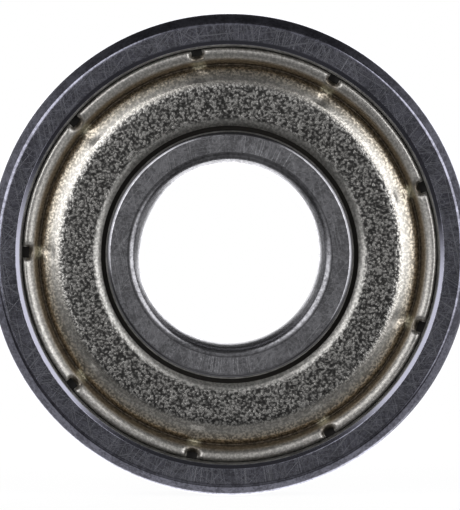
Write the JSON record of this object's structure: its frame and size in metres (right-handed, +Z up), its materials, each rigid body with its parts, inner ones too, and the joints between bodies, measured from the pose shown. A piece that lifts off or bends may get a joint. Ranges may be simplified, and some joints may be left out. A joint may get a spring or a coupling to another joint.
{
  "type": "ball bearing",
  "caption": "Deep-groove ball bearing with inner and outer rings, caged balls and a pressed shield with a notched rim on one side.",
  "frame": {"origin": "centre of the bearing, on its axis and midway between the side faces", "axes": "Y is the axis of rotation, the shielded side faces -Y, the open side +Y, +Z is up"},
  "size_m": [0.022, 0.007, 0.022],
  "materials": {
    "ring_steel": "ground and lapped hardened steel",
    "shield_steel": "pressed and plated sheet steel, fine grain",
    "ball_steel": "mirror polished hardened steel",
    "cage_steel": "pressed and tumbled mild steel",
    "rivet_steel": "cold headed mild steel"
  },
  "bodies": {
    "outer": {"outer_ring": "ring_steel", "front_shield": "shield_steel"},
    "inner": {"inner_ring": "ring_steel"},
    "cage": {"cage_front": "cage_steel", "cage_back": "cage_steel", "rivet_1": "rivet_steel", "rivet_2": "rivet_steel", "rivet_3": "rivet_steel", "rivet_4": "rivet_steel", "rivet_5": "rivet_steel", "rivet_6": "rivet_steel", "rivet_7": "rivet_steel"},
    "ball_1": {"ball_1": "ball_steel"},
    "ball_2": {"ball_2": "ball_steel"},
    "ball_3": {"ball_3": "ball_steel"},
    "ball_4": {"ball_4": "ball_steel"},
    "ball_5": {"ball_5": "ball_steel"},
    "ball_6": {"ball_6": "ball_steel"},
    "ball_7": {"ball_7": "ball_steel"}
  },
  "joints": [
    {"name": "inner_spin", "type": "hinge", "parent": "outer", "child": "inner", "pos_m": [0, 0, 0], "axis": [0, 1, 0], "continuous": true},
    {"name": "cage_spin", "type": "hinge", "parent": "outer", "child": "cage", "pos_m": [0, 0, 0], "axis": [0, 1, 0], "continuous": true},
    {"name": "ball_1_spin", "type": "hinge", "parent": "cage", "child": "ball_1", "pos_m": [0, 0, 0.0075], "axis": [0, 1, 0], "continuous": true},
    {"name": "ball_2_spin", "type": "hinge", "parent": "cage", "child": "ball_2", "pos_m": [-0.00586, 0, 0.00468], "axis": [0, 1, 0], "continuous": true},
    {"name": "ball_3_spin", "type": "hinge", "parent": "cage", "child": "ball_3", "pos_m": [-0.00731, 0, -0.00167], "axis": [0, 1, 0], "continuous": true},
    {"name": "ball_4_spin", "type": "hinge", "parent": "cage", "child": "ball_4", "pos_m": [-0.00325, 0, -0.00676], "axis": [0, 1, 0], "continuous": true},
    {"name": "ball_5_spin", "type": "hinge", "parent": "cage", "child": "ball_5", "pos_m": [0.00325, 0, -0.00676], "axis": [0, 1, 0], "continuous": true},
    {"name": "ball_6_spin", "type": "hinge", "parent": "cage", "child": "ball_6", "pos_m": [0.00731, 0, -0.00167], "axis": [0, 1, 0], "continuous": true},
    {"name": "ball_7_spin", "type": "hinge", "parent": "cage", "child": "ball_7", "pos_m": [0.00586, 0, 0.00468], "axis": [0, 1, 0], "continuous": true}
  ],
  "couplings": [
    {"joint": "cage_spin", "follows": "inner_spin", "ratio": 0.3677},
    {"joint": "ball_1_spin", "follows": "inner_spin", "ratio": -1.7573},
    {"joint": "ball_2_spin", "follows": "inner_spin", "ratio": -1.7573},
    {"joint": "ball_3_spin", "follows": "inner_spin", "ratio": -1.7573},
    {"joint": "ball_4_spin", "follows": "inner_spin", "ratio": -1.7573},
    {"joint": "ball_5_spin", "follows": "inner_spin", "ratio": -1.7573},
    {"joint": "ball_6_spin", "follows": "inner_spin", "ratio": -1.7573},
    {"joint": "ball_7_spin", "follows": "inner_spin", "ratio": -1.7573}
  ]
}
